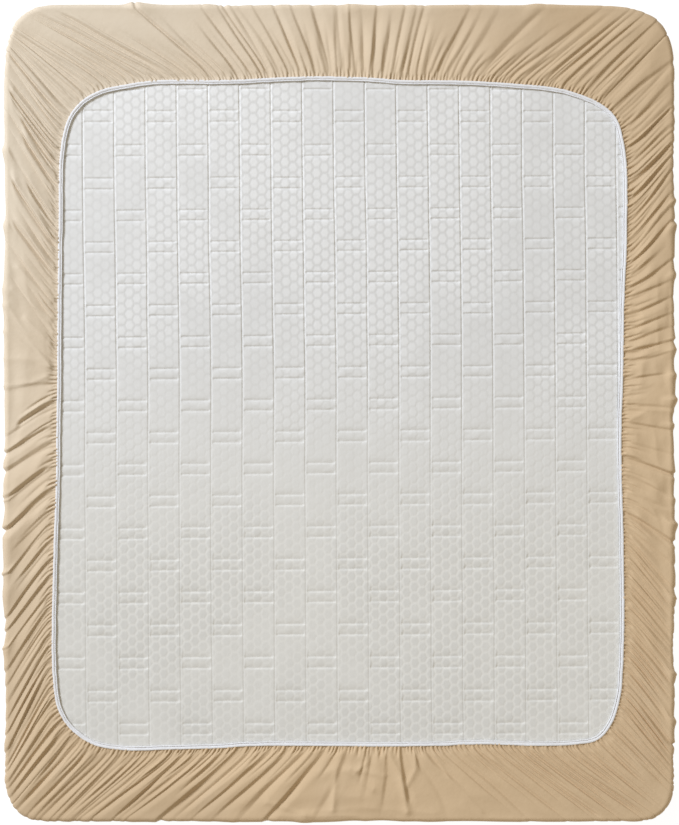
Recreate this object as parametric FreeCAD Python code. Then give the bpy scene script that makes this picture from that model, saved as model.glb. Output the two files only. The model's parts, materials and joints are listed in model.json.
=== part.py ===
"""A queen mattress in a fitted sheet, lying face down: FreeCAD source, in millimetres.

The mattress is a two-sided pocket-spring one, 1600 wide, 1950 long and 217 thick. It lies with its
sleeping face on the floor and its underside up, so the sheet's elastic hem is on top.

Frame: the origin is on the floor under the middle of the part, +Z is up, +Y runs towards the head
end and +X is to the right of someone who stands at the foot end and looks down at the part.

From the floor up: sheet, sleeping-side quilt (ticking, wadding, backing), comfort foam, felt pad,
pocket-spring strings between two border wires, felt pad, comfort foam, underside quilt, and the
sheet's gathered edge with its elastic hem. A quilted border with two edge tapes closes the sides.
"""

import FreeCAD, Part
import os
from FreeCAD import Vector

os.makedirs("parts", exist_ok=True)

# ---- driving dimensions -------------------------------------------------------------------------

MATTRESS_HALF = (800.0, 975.0)      # half width and half length over the border
MATTRESS_CORNER = 110.0             # corner radius of the border, seen from above

# the stack, from the floor up: each layer's thickness
SHEET_WALL = 1.5
SLIP = 0.3                          # air between the sheet and the mattress
TICKING = 2.0
WADDING = 16.0
BACKING = 1.0
SLEEPING_FOAM = 25.0
FELT = 8.0
SPRING_HEIGHT = 120.0
UNDERSIDE_FOAM = 18.0
SHEET_EDGE = 6.0                    # the gathered cloth on the underside, folds included

# quilt panels and the layers inside the border
LAYER_INSET = 10.0                  # from the border's outside to the layers' edges
TICKING_RIM = 2.0                   # the ticking's turned-down rim, beside the wadding
TICKING_RIM_DROP = 9.3
RIM_FILLET = 6.0
WADDING_FILLET = 4.0

# border: quilted band round the sides, between the two edge tapes
BORDER_TICKING = 2.0
BORDER_WADDING = 6.0
TAPE_RADIUS = 4.5
TAPE_INSET = 4.0                    # from the border's outside to the tape's centreline
TAPE_FROM_FACE = 16.0               # from each quilted face to the tape's centreline

# springs
POCKET_RADIUS = 30.0
STRING_PITCH = 62.0                 # across the mattress
POCKET_PITCH = 61.5                 # along a string
STRINGS = 25
POCKETS = 31                        # in a string; the two outer ones have one fewer at each end
WELD_HALF_WIDTH = 5.0               # the flat welded neck between two pockets

# border wires and their clips
WIRE_RADIUS = 1.9
WIRE_HALF = (780.0, 957.0)
WIRE_CORNER = 92.0
WIRE_FROM_FELT = 3.6
CLIP_RADIUS = 3.4
CLIP_LENGTH = 14.0
CLIP_PITCH = 186.0
WIRE_IN_CLIP = 0.1

# vents and handles in the border
VENT_FLANGE = (11.0, 1.5)           # radius and thickness
VENT_TUBE = (7.0, 5.5)              # outer and inner radius
VENT_FIT = 0.1
VENT_SIDE_Y = (-620.0, 620.0)       # along the long sides
VENT_END_X = (-420.0, 420.0)        # along the head and foot ends
HANDLE_HALF = 110.0
HANDLE_TAB = 22.0
HANDLE_BOW = 4.0
HANDLE_THICK = 2.5
HANDLE_HEIGHT = 30.0
HANDLE_Y = (-380.0, 380.0)

# fitted sheet: outside of the pulled-on cloth, corner radii in the order of CORNERS
CORNERS = ((-1, 1), (1, 1), (1, -1), (-1, -1))      # head left, head right, foot right, foot left
SHEET_HALF = (815.0, 992.0)
SHEET_CORNERS = (120.0, 132.0, 84.0, 96.0)
SHEET_FILLET = 26.0
SEAM = (9.0, 1.2)                   # corner seam allowance: how far it stands in, and its thickness
SEAM_CLEAR = 0.5                    # air between a seam allowance and the cloth round it

# hem: white binding folded over a flat elastic
HEM_HALF = (688.0, 813.0)           # outside of the binding
HEM_CORNERS = (190.0, 208.0, 136.0, 152.0)
BINDING = (11.0, 8.0)               # width and height
ELASTIC = (6.0, 3.5)
ELASTIC_CLEAR = 0.25

# ---- levels worked out from the stack ------------------------------------------------------------

Z_FACE = SHEET_WALL + SLIP                          # outside of the sleeping-side ticking
Z_SLEEPING_WADDING = Z_FACE + TICKING
Z_SLEEPING_BACKING = Z_SLEEPING_WADDING + WADDING
Z_SLEEPING_FOAM = Z_SLEEPING_BACKING + BACKING
Z_SLEEPING_FELT = Z_SLEEPING_FOAM + SLEEPING_FOAM
Z_SPRINGS = Z_SLEEPING_FELT + FELT
Z_UNDERSIDE_FELT = Z_SPRINGS + SPRING_HEIGHT
Z_UNDERSIDE_FOAM = Z_UNDERSIDE_FELT + FELT
Z_UNDERSIDE_BACKING = Z_UNDERSIDE_FOAM + UNDERSIDE_FOAM
Z_UNDERSIDE_WADDING = Z_UNDERSIDE_BACKING + BACKING
Z_UNDERSIDE_TICKING = Z_UNDERSIDE_WADDING + WADDING
Z_UNDERSIDE = Z_UNDERSIDE_TICKING + TICKING         # outside of the underside ticking
Z_EDGE = Z_UNDERSIDE + SLIP                         # bottom of the sheet's gathered edge
Z_TOP = Z_EDGE + SHEET_EDGE
Z_LOW_TAPE = Z_FACE + TAPE_FROM_FACE
Z_HIGH_TAPE = Z_UNDERSIDE - TAPE_FROM_FACE
Z_MIDDLE = (Z_LOW_TAPE + Z_HIGH_TAPE) / 2


# ---- shapes that repeat --------------------------------------------------------------------------

def outline(half, radii, z):
    """A closed wire: a rectangle of those half sizes with a round corner of its own radius at each of CORNERS."""
    hx, hy = half
    diagonal = 0.5 ** 0.5
    points = []
    for (sx, sy), r in zip(CORNERS, radii):
        cx, cy = sx * (hx - r), sy * (hy - r)
        ends = [Vector(sx * hx, cy, z), Vector(cx, sy * hy, z)]
        if sx * sy > 0:
            ends.reverse()
        middle = Vector(cx + sx * r * diagonal, cy + sy * r * diagonal, z)
        points.append((ends[0], middle, ends[1]))
    edges = []
    for n, (start, middle, end) in enumerate(points):
        edges.append(Part.Arc(start, middle, end).toShape())
        edges.append(Part.LineSegment(end, points[(n + 1) % len(points)][0]).toShape())
    return Part.Wire(edges)


def slab(half, radii, low, high):
    """A flat plate with round corners, from one level to another."""
    return Part.Face(outline(half, radii, low)).extrude(Vector(0, 0, high - low))


def grown(half, by):
    return (half[0] + by, half[1] + by)


def mattress_slab(inset, low, high):
    """A plate that follows the mattress's outline at a distance inside it."""
    return slab(grown(MATTRESS_HALF, -inset), [MATTRESS_CORNER - inset] * len(CORNERS), low, high)


def edges_at(shape, z):
    """The shape's edges that lie wholly at one level."""
    return [e for e in shape.Edges if abs(e.BoundBox.ZMin - z) < 1e-4 and abs(e.BoundBox.ZMax - z) < 1e-4]


def round_wire(half, radii, z, radius):
    """A closed ring of round section that follows an outline."""
    path = outline(half, radii, z)
    start = path.Edges[1].valueAt(path.Edges[1].FirstParameter)
    tangent = path.Edges[1].tangentAt(path.Edges[1].FirstParameter)
    section = Part.Wire([Part.makeCircle(radius, start, tangent)])
    ring = path.makePipeShell([section], True, False)
    return Part.makeSolid(ring) if ring.ShapeType == "Shell" else ring


def write(name, shape):
    """Writes one node, as a compound of solids, after a check of its solids."""
    solids = shape.Solids
    assert solids and all(s.isValid() and s.Volume > 0 for s in solids), name
    (solids[0] if len(solids) == 1 else Part.makeCompound(solids)).exportStep(f"parts/{name}.step")
    print(f"{name}: {len(solids)} solid(s), {sum(s.Volume for s in solids) / 1e3:.1f} cm3")


# ---- quilted panels ------------------------------------------------------------------------------

def ticking_panel(face, inward):
    """The outer fabric of a quilt: a sheet with a rim turned in beside the wadding. inward is +1 where the quilt lies above its face."""
    inner = face + inward * TICKING
    rim = face + inward * (TICKING + TICKING_RIM_DROP)
    outside = mattress_slab(LAYER_INSET - TICKING_RIM, min(face, rim), max(face, rim))
    outside = outside.makeFillet(RIM_FILLET, edges_at(outside, face))
    inside = mattress_slab(LAYER_INSET, min(inner, rim), max(inner, rim))
    inside = inside.makeFillet(WADDING_FILLET, edges_at(inside, inner))
    return outside.cut(inside)


def wadding_panel(outer, inner):
    """The quilt's filling, rounded where the ticking turns over it."""
    plate = mattress_slab(LAYER_INSET, min(outer, inner), max(outer, inner))
    return plate.makeFillet(WADDING_FILLET, edges_at(plate, outer))


def make_quilts():
    write("sleeping_ticking", ticking_panel(Z_FACE, 1))
    write("sleeping_wadding", wadding_panel(Z_SLEEPING_WADDING, Z_SLEEPING_BACKING))
    write("sleeping_backing", mattress_slab(LAYER_INSET, Z_SLEEPING_BACKING, Z_SLEEPING_FOAM))
    write("underside_ticking", ticking_panel(Z_UNDERSIDE, -1))
    write("underside_wadding", wadding_panel(Z_UNDERSIDE_TICKING, Z_UNDERSIDE_WADDING))
    write("underside_backing", mattress_slab(LAYER_INSET, Z_UNDERSIDE_BACKING, Z_UNDERSIDE_WADDING))


def make_padding():
    write("sleeping_comfort_foam", mattress_slab(LAYER_INSET, Z_SLEEPING_FOAM, Z_SLEEPING_FELT))
    write("sleeping_felt_pad", mattress_slab(LAYER_INSET, Z_SLEEPING_FELT, Z_SPRINGS))
    write("underside_felt_pad", mattress_slab(LAYER_INSET, Z_UNDERSIDE_FELT, Z_UNDERSIDE_FOAM))
    write("underside_comfort_foam", mattress_slab(LAYER_INSET, Z_UNDERSIDE_FOAM, Z_UNDERSIDE_BACKING))


# ---- border, tapes, vents and handles ------------------------------------------------------------

def vent_places():
    """(a point on the border's outside, the way out of the mattress) for each vent."""
    hx, hy = MATTRESS_HALF
    for side in (-1, 1):
        for y in VENT_SIDE_Y:
            yield Vector(side * hx, y, Z_MIDDLE), Vector(side, 0, 0)
        for x in VENT_END_X:
            yield Vector(x, side * hy, Z_MIDDLE), Vector(0, side, 0)


def make_border():
    low, high = Z_LOW_TAPE + TAPE_RADIUS, Z_HIGH_TAPE - TAPE_RADIUS
    holes = [
        Part.makeCylinder(VENT_TUBE[0] + VENT_FIT, 4 * BORDER_WADDING, at - out * 2 * BORDER_WADDING, out)
        for at, out in vent_places()
    ]
    layers = (
        ("border_ticking", 0.0, BORDER_TICKING),
        ("border_wadding", BORDER_TICKING, BORDER_TICKING + BORDER_WADDING),
    )
    for name, outside, inside in layers:
        band = mattress_slab(outside, low, high).cut(mattress_slab(inside, low, high))
        write(name, band.cut(Part.makeCompound(holes)))


def make_tapes():
    half = grown(MATTRESS_HALF, -TAPE_INSET)
    radii = [MATTRESS_CORNER - TAPE_INSET] * len(CORNERS)
    write("sleeping_edge_tape", round_wire(half, radii, Z_LOW_TAPE, TAPE_RADIUS))
    write("underside_edge_tape", round_wire(half, radii, Z_HIGH_TAPE, TAPE_RADIUS))


def make_vents():
    vents = []
    for at, out in vent_places():
        flange = Part.makeCylinder(VENT_FLANGE[0], VENT_FLANGE[1], at, out)
        tube_length = BORDER_TICKING + BORDER_WADDING
        tube = Part.makeCylinder(VENT_TUBE[0], tube_length, at - out * tube_length, out)
        bore = Part.makeCylinder(VENT_TUBE[1], tube_length + 2 * VENT_FLANGE[1], at - out * tube_length, out)
        vents.append(flange.fuse(tube).cut(bore).removeSplitter())
    write("air_vents", Part.makeCompound(vents))


def handle(side, y):
    """A webbing strap sewn down at both ends and bowed out from the border between them."""
    base = side * MATTRESS_HALF[0]
    low = Z_MIDDLE - HANDLE_HEIGHT / 2

    def at(out, along):
        return Vector(base + side * out, y + along, low)

    tab = HANDLE_HALF - HANDLE_TAB
    top = HANDLE_BOW + HANDLE_THICK
    edges = [
        Part.LineSegment(at(0, -HANDLE_HALF), at(HANDLE_THICK, -HANDLE_HALF)),
        Part.LineSegment(at(HANDLE_THICK, -HANDLE_HALF), at(HANDLE_THICK, -tab)),
        Part.Arc(at(HANDLE_THICK, -tab), at(top, 0), at(HANDLE_THICK, tab)),
        Part.LineSegment(at(HANDLE_THICK, tab), at(HANDLE_THICK, HANDLE_HALF)),
        Part.LineSegment(at(HANDLE_THICK, HANDLE_HALF), at(0, HANDLE_HALF)),
        Part.LineSegment(at(0, HANDLE_HALF), at(0, tab)),
        Part.Arc(at(0, tab), at(HANDLE_BOW, 0), at(0, -tab)),
        Part.LineSegment(at(0, -tab), at(0, -HANDLE_HALF)),
    ]
    face = Part.Face(Part.Wire([e.toShape() for e in edges]))
    return face.extrude(Vector(0, 0, HANDLE_HEIGHT))


def make_handles():
    for side, side_name in ((-1, "left"), (1, "right")):
        for y, end_name in zip(HANDLE_Y, ("foot", "head")):
            write(f"handle_{side_name}_{end_name}", handle(side, y))


# ---- springs, border wires and clips -------------------------------------------------------------

def pocket_string(x, pockets):
    """One string of pocketed springs: a row of round pockets with a flat weld between each two."""
    first = -(pockets - 1) * POCKET_PITCH / 2
    reach = (POCKET_RADIUS ** 2 - WELD_HALF_WIDTH ** 2) ** 0.5    # from a pocket's middle to its neck
    edges = []
    for side in (1, -1):
        order = range(pockets) if side > 0 else range(pockets - 1, -1, -1)
        for n in order:
            y = first + n * POCKET_PITCH
            start_y, end_y = y - side * reach, y + side * reach
            start_x = end_x = x + side * WELD_HALF_WIDTH
            if n == (0 if side > 0 else pockets - 1):
                start_x, start_y = x, y - side * POCKET_RADIUS
            if n == (pockets - 1 if side > 0 else 0):
                end_x, end_y = x, y + side * POCKET_RADIUS
            start, end = Vector(start_x, start_y, Z_SPRINGS), Vector(end_x, end_y, Z_SPRINGS)
            if edges:
                gap = edges[-1].valueAt(edges[-1].LastParameter)
                if (gap - start).Length > 1e-6:
                    edges.append(Part.LineSegment(gap, start).toShape())
            edges.append(Part.Arc(start, Vector(x + side * POCKET_RADIUS, y, Z_SPRINGS), end).toShape())
    return Part.Face(Part.Wire(edges)).extrude(Vector(0, 0, SPRING_HEIGHT))


def make_springs():
    for n in range(STRINGS):
        x = (n - (STRINGS - 1) / 2) * STRING_PITCH
        outer = n in (0, STRINGS - 1)
        write(f"pocket_string_{n + 1:02d}", pocket_string(x, POCKETS - 2 if outer else POCKETS))


def clip_places():
    """(the clip's middle, the wire's direction there) round the border wire, clear of its corners."""
    hx, hy = WIRE_HALF
    along_x = int((hx - WIRE_CORNER) / CLIP_PITCH)
    along_y = int((hy - WIRE_CORNER) / CLIP_PITCH)
    for side in (-1, 1):
        for n in range(-along_x, along_x + 1):
            yield Vector(n * CLIP_PITCH, side * hy, 0), Vector(1, 0, 0)
        for n in range(-along_y, along_y + 1):
            yield Vector(side * hx, n * CLIP_PITCH, 0), Vector(0, 1, 0)


def make_wires():
    radii = [WIRE_CORNER] * len(CORNERS)
    levels = (("sleeping", Z_SPRINGS + WIRE_FROM_FELT), ("underside", Z_UNDERSIDE_FELT - WIRE_FROM_FELT))
    for name, z in levels:
        write(f"{name}_border_wire", round_wire(WIRE_HALF, radii, z, WIRE_RADIUS))
        clips = []
        for at, along in clip_places():
            start = at + Vector(0, 0, z) - along * CLIP_LENGTH / 2
            sleeve = Part.makeCylinder(CLIP_RADIUS, CLIP_LENGTH, start, along)
            bore = Part.makeCylinder(WIRE_RADIUS + WIRE_IN_CLIP, CLIP_LENGTH, start, along)
            clips.append(sleeve.cut(bore))
        write(f"{name}_wire_clips", Part.makeCompound(clips))


# ---- fitted sheet and its hem --------------------------------------------------------------------

def make_sheet():
    """One piece of cloth, pulled over the mattress: a wall all round, and an edge gathered in over the underside."""
    outside = slab(SHEET_HALF, SHEET_CORNERS, 0, Z_TOP)
    outside = outside.makeFillet(SHEET_FILLET, edges_at(outside, 0) + edges_at(outside, Z_TOP))
    inner_radii = [r - SHEET_WALL for r in SHEET_CORNERS]
    inside = slab(grown(SHEET_HALF, -SHEET_WALL), inner_radii, SHEET_WALL, Z_EDGE)
    inside = inside.makeFillet(SHEET_FILLET - SHEET_WALL, edges_at(inside, SHEET_WALL) + edges_at(inside, Z_EDGE))
    mouth_radii = [r + SLIP for r in HEM_CORNERS]
    mouth = slab(grown(HEM_HALF, SLIP), mouth_radii, Z_EDGE - SHEET_EDGE, Z_TOP + SHEET_EDGE)
    write("fitted_sheet", outside.cut(inside).cut(mouth))


def make_corner_seams():
    """The sewn allowance inside each corner of the sheet, upright between cloth and mattress."""
    low, high = SHEET_FILLET + SEAM_CLEAR, Z_TOP - SHEET_FILLET - SEAM_CLEAR
    reach, thick = SEAM
    seams = []
    for (sx, sy), r in zip(CORNERS, SHEET_CORNERS):
        cx, cy = sx * (SHEET_HALF[0] - r), sy * (SHEET_HALF[1] - r)
        outer = r - SHEET_WALL - SEAM_CLEAR
        strip = Part.makeBox(reach, thick, high - low, Vector(outer - reach, -thick / 2, low))
        turn = FreeCAD.Rotation(Vector(1, 0, 0), Vector(sx, sy, 0))
        strip.Placement = FreeCAD.Placement(Vector(cx, cy, 0), turn).multiply(strip.Placement)
        seams.append(strip)
    write("sheet_corner_seams", Part.makeCompound(seams))


def make_hem():
    width, height = BINDING
    elastic_width, elastic_height = ELASTIC
    low = Z_UNDERSIDE

    def ring(inset, across, z_low, z_high):
        outer = slab(grown(HEM_HALF, -inset), [r - inset for r in HEM_CORNERS], z_low, z_high)
        edge = inset + across
        return outer.cut(slab(grown(HEM_HALF, -edge), [r - edge for r in HEM_CORNERS], z_low, z_high))

    side = (width - elastic_width) / 2
    rise = (height - elastic_height) / 2
    pocket = ring(
        side - ELASTIC_CLEAR, elastic_width + 2 * ELASTIC_CLEAR,
        low + rise - ELASTIC_CLEAR, low + height - rise + ELASTIC_CLEAR,
    )
    write("hem_binding", ring(0, width, low, low + height).cut(pocket))
    write("hem_elastic", ring(side, elastic_width, low + rise, low + height - rise))


make_quilts()
make_padding()
make_border()
make_tapes()
make_vents()
make_handles()
make_springs()
make_wires()
make_sheet()
make_corner_seams()
make_hem()
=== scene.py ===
"""A queen mattress in a fitted sheet, lying face down, seen from above. Metres, in the CAD frame."""

import json
import math

import bpy
import numpy as np
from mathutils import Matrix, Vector


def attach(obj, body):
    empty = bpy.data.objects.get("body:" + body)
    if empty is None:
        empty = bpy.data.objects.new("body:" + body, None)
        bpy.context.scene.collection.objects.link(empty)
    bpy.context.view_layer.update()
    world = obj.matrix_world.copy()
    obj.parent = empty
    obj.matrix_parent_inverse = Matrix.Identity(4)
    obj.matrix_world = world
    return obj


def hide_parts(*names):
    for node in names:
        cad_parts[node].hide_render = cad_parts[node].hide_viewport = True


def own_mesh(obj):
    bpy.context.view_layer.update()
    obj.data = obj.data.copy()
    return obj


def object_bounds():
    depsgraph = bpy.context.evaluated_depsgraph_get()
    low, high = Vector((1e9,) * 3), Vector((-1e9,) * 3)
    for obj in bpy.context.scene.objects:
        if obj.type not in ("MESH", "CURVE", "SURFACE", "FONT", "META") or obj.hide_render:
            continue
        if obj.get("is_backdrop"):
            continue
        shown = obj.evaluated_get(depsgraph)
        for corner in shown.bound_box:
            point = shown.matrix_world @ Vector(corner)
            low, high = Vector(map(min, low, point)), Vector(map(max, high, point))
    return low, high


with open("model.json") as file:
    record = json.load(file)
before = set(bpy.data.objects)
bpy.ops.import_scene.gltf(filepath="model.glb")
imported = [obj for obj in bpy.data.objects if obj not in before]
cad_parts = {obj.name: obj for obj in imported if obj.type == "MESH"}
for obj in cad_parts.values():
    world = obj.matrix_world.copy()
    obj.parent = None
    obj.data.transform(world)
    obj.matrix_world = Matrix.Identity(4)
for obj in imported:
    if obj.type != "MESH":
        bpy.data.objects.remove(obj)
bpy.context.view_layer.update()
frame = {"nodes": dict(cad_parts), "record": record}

MM = 0.001
rng = np.random.default_rng(20)

# ---- what is built, in millimetres ----------------------------------------------------------------

# the sheet's outside, before its folds stand out further: to the sides, the head end and the foot end
HALF = (813.0, 990.0, 993.5)
# how far each soft corner reaches along the end and along the side: head right, foot right, foot left
# and head left
CORNERS = ((206.0, 180.0), (116.0, 128.0), (124.0, 142.0), (146.0, 190.0))
CORNER_POWER = 3.0                  # 2 would be an ellipse; soft corners are squarer
EDGE_OUT, EDGE_DROP = 5.0, 6.5      # the rounding over the mattress's upper edge
FOOT_ROUND = 24.0                   # and its radius at the floor
FLOOR_GAP = 0.4                     # the level of the sheet's sleeping side
LOWEST = 0.3                        # no fold reaches lower than this
QUILT_TOP = 218.8                   # outside of the underside ticking
FOLD_BASE = 220.7                   # the level on the underside that the sheet's folds stand on

# The binding's outer edge, clockwise from the middle of the head end. The elastic bows it in and out.
HEM = [
    (-58, 815), (76, 812), (143, 807), (210, 806), (315, 805), (420, 798), (500, 791), (560, 780),
    (626, 754), (670, 717), (689, 660), (698, 580), (698, 420), (693, 300), (690, 180), (688, 60),
    (685, -60), (686, -180), (690, -300), (691, -540), (688, -630), (682, -691), (662, -753), (625, -795),
    (560, -807), (470, -809), (375, -805), (300, -806), (220, -810), (-60, -810), (-180, -810),
    (-240, -811), (-300, -815), (-450, -820), (-520, -819), (-592, -808), (-649, -772), (-683, -721),
    (-695, -650), (-698, -540), (-694, -330), (-688, -190), (-686, -100), (-686, 0), (-683, 300),
    (-681, 540), (-678, 630), (-663, 705), (-629, 754), (-579, 783), (-519, 796), (-470, 803),
    (-420, 806), (-310, 806), (-240, 808), (-150, 813),
]

# Where folds start at the hem, and where they reach the mattress's edge.
LEAN = [
    ((-39, 816), (-85, 992)), ((10, 816), (0, 992)), ((155, 812), (190, 992)), ((206, 810), (262, 992)),
    ((296, 806), (405, 992)), ((370, 803), (585, 992)), ((475, 795), (700, 985)),
    ((548, 783), (742, 965)), ((632, 748), (786, 918)), ((672, 712), (808, 838)),
    ((688, 668), (814, 775)), ((697, 618), (815, 706)), ((698, 550), (815, 648)),
    ((698, 460), (815, 590)), ((698, 371), (815, 487)), ((697, 310), (815, 388)),
    ((694, 262), (815, 303)), ((690, 145), (815, 175)), ((685, 0), (815, -4)), ((686, -110), (815, -153)),
    ((687, -245), (815, -310)), ((687, -300), (815, -430)), ((690, -498), (815, -625)),
    ((690, -572), (815, -714)), ((686, -660), (815, -806)), ((668, -735), (812, -885)),
    ((600, -797), (782, -962)), ((526, -806), (752, -985)), ((400, -807), (640, -992)),
    ((230, -808), (420, -992)), ((148, -809), (150, -992)), ((40, -809), (-10, -992)),
    ((-34, -810), (-186, -992)), ((-78, -811), (-262, -992)), ((-202, -812), (-395, -992)),
    ((-297, -815), (-495, -992)), ((-403, -817), (-606, -992)), ((-530, -815), (-690, -990)),
    ((-622, -785), (-772, -955)), ((-672, -726), (-806, -905)), ((-691, -651), (-814, -850)),
    ((-697, -498), (-815, -656)), ((-694, -272), (-815, -394)), ((-691, -64), (-815, -128)),
    ((-690, 48), (-815, -27)), ((-688, 150), (-815, 330)), ((-687, 335), (-815, 480)),
    ((-686, 404), (-815, 588)), ((-684, 549), (-815, 737)), ((-681, 630), (-815, 788)),
    ((-655, 722), (-806, 890)), ((-575, 787), (-788, 936)), ((-423, 811), (-735, 968)),
    ((-294, 815), (-483, 992)), ((-173, 816), (-277, 992)),
]

# How the cloth lies along the hem: a place, the folds' pitch there, how high their crests stand, how far
# they run, how wide their steep side is, the folds' strength, the share of it left at the mattress's edge,
# and how much the cloth bulges and dents between them.
LIE = [
    ((0, 816), 27, 9.8, 460, 10, 0.66, 0.55, 0.8), ((180, 812), 28, 9.4, 420, 10, 0.62, 0.5, 0.8),
    ((290, 806), 33, 9, 420, 12, 0.52, 0.4, 0.9), ((420, 800), 28, 9, 500, 11, 0.50, 0.45, 0.9),
    ((560, 780), 26, 9, 520, 9.5, 0.50, 0.45, 0.8), ((672, 712), 25, 9, 460, 9, 0.54, 0.5, 0.8),
    ((697, 560), 27, 11.5, 400, 9.5, 0.66, 0.65, 0.9), ((697, 400), 26, 12, 400, 9.5, 0.66, 0.7, 1.6),
    ((694, 270), 32, 9, 260, 10, 0.52, 0.7, 2.6), ((688, 100), 34, 7, 180, 9, 0.5, 0.6, 3.0),
    ((685, -80), 40, 7, 180, 9, 0.5, 0.6, 3.0), ((687, -260), 24, 8.5, 340, 6, 0.6, 0.55, 2.4),
    ((690, -560), 15, 9, 480, 4.2, 0.75, 0.5, 0.9), ((668, -735), 14, 9.5, 500, 4.0, 0.78, 0.5, 0.5),
    ((526, -806), 17, 9, 480, 4.6, 0.75, 0.4, 0.6), ((330, -808), 24, 8, 440, 6, 0.6, 0.35, 1.0),
    ((170, -809), 44, 7, 260, 9, 0.58, 0.35, 2.4), ((20, -809), 48, 7.2, 240, 10, 0.56, 0.35, 2.8),
    ((-110, -811), 40, 8.4, 360, 12, 0.60, 0.35, 1.4), ((-297, -815), 30, 9.4, 480, 10, 0.66, 0.4, 0.7),
    ((-430, -818), 25, 10, 520, 9, 0.70, 0.45, 0.5), ((-600, -799), 22, 10, 560, 8.5, 0.74, 0.45, 0.4),
    ((-686, -680), 23, 10, 560, 8.5, 0.74, 0.45, 0.4), ((-697, -520), 29, 12, 480, 9, 0.74, 0.65, 0.6),
    ((-694, -300), 52, 8.2, 460, 9.5, 0.70, 0.95, 0.9), ((-690, -40), 52, 8.2, 400, 9.5, 0.68, 0.95, 0.9),
    ((-689, 60), 56, 9, 220, 9, 0.6, 0.6, 2.4), ((-688, 180), 40, 8.5, 220, 7, 0.6, 0.5, 2.0),
    ((-686, 330), 34, 9, 190, 6.5, 0.64, 0.5, 1.2), ((-684, 540), 36, 9, 190, 5.5, 0.62, 0.4, 0.9),
    ((-655, 722), 18, 10, 460, 4.6, 0.80, 0.5, 0.5), ((-520, 800), 20, 10, 520, 4.6, 0.78, 0.45, 0.5),
    ((-330, 814), 32, 9.5, 440, 6.2, 0.68, 0.45, 0.8), ((-190, 816), 33, 10, 460, 10, 0.68, 0.55, 0.7),
]

# Single sharp creases: where on the hem, how much the cloth is raised beside them, half width, and the
# shares of the way to the mattress's edge at which they begin and end.
CREASES = [
    ((-681, 630), 18, 5.0, -0.30, 0.97), ((-683, 596), 7, 3.5, -0.30, 0.75),
    ((-684, 549), 8, 4.0, -0.30, 0.7), ((-686, 404), 18, 5.0, -0.30, 0.93),
    ((-686, 450), 6, 3.5, -0.30, 0.6), ((-687, 335), 8, 4.5, -0.30, 0.90),
    ((-660, 712), 7, 3.5, 0.05, 1.05), ((-301, 815), 6, 4.0, -0.30, 1.25),
    ((-405, 811), 4, 4.0, 0.05, 0.95), ((-173, 816), 8, 6.0, -0.30, 1.30),
    ((-600, 774), 4, 4.0, 0.05, 1.0), ((-691, -127), 6, 7.5, 0.02, 1.5),
    ((-694, -187), 6, 7.5, 0.02, 1.5), ((-691, -30), 6, 7.5, 0.02, 1.4),
    ((-34, -810), 3, 8.0, -0.10, 1.1), ((150, -809), 3, 7.0, -0.20, 0.8),
    ((-240, -813), 5, 9.5, -0.30, 1.2), ((697, 550), 8, 6.0, -0.30, 1.0),
    ((698, 640), 7, 5.0, -0.30, 1.0), ((690, 145), 6, 6.0, -0.20, 1.2), ((686, -110), 5, 6.0, -0.20, 1.1),
    ((687, -245), 5, 7.0, -0.20, 1.2), ((689, -420), 4, 4.0, 0.10, 1.0), ((686, -660), 4, 4.0, 0.35, 1.2),
    ((400, -807), 4, 5.0, -0.10, 1.0), ((-690, 25), 6, 8.0, -0.30, 0.8),
]

# Where folds stand out past the outline: a place on it, their half width and how far they stand out.
BUMPS = [
    ((815, 516), 12, 4), ((815, 456), 16, 6), ((815, 335), 22, 6), ((815, 152), 16, 5),
    ((815, 92), 14, 5), ((815, 31), 18, 8), ((815, -30), 12, 4), ((815, -212), 14, 5),
    ((815, -272), 16, 8), ((815, -454), 14, 5), ((815, -636), 16, 7), ((815, -750), 14, 6),
    ((-815, 638), 26, 7), ((-815, 456), 24, 5), ((-815, 300), 30, 3), ((-815, -212), 16, 6),
    ((-815, -394), 18, 5), ((-815, -576), 18, 5), ((-500, 990), 44, 7), ((-330, 990), 20, 3),
    ((26, 990), 24, 4), ((480, 990), 50, 4), ((-90, -993), 40, 3), ((220, -993), 60, 2),
]

# Creases that cross the folds: their points, half width and height.
CROSSING = [
    (((14, -818), (-8, -867), (-16, -964)), 8, 4.0), (((14, -867), (80, -915)), 6, 2.6),
    (((26, -864), (111, -881)), 7, 2.4), (((114, -818), (148, -879), (165, -969)), 8, 4.5),
    (((184, -823), (184, -867), (165, -903)), 7, 3.6), (((223, -818), (269, -891), (347, -969)), 4, 2.0),
    (((-175, -945), (-83, -976)), 6, 2.4), (((-60, -968), (60, -958), (230, -972)), 9, 1.6),
    (((58, -816), (66, -850), (40, -872)), 6, 2.6), (((-700, 112), (-806, 196)), 6, 2.6),
    (((-700, 92), (-745, 72), (-806, 60)), 6, 2.4), (((-700, 104), (-735, 128), (-806, 130)), 10, 2.0),
    (((-700, 226), (-794, 298)), 8, 3.4), (((-700, 113), (-752, 176), (-804, 259)), 8, 3.8),
    (((-700, 166), (-760, 226)), 7, 3.2), (((-700, 268), (-780, 352)), 8, 3.0),
    (((700, 148), (745, 152), (806, 176)), 5, 3.0), (((700, -20), (750, 6), (812, 2)), 8, 2.4),
    (((700, -190), (760, -232), (812, -240)), 9, 2.2),
]

# Where the sheet's sewn corners meet the hem.
SEAMS = ((-650, 730), (632, 748), (655, -752), (-640, -772))


# ---- small helpers --------------------------------------------------------------------------------

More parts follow.
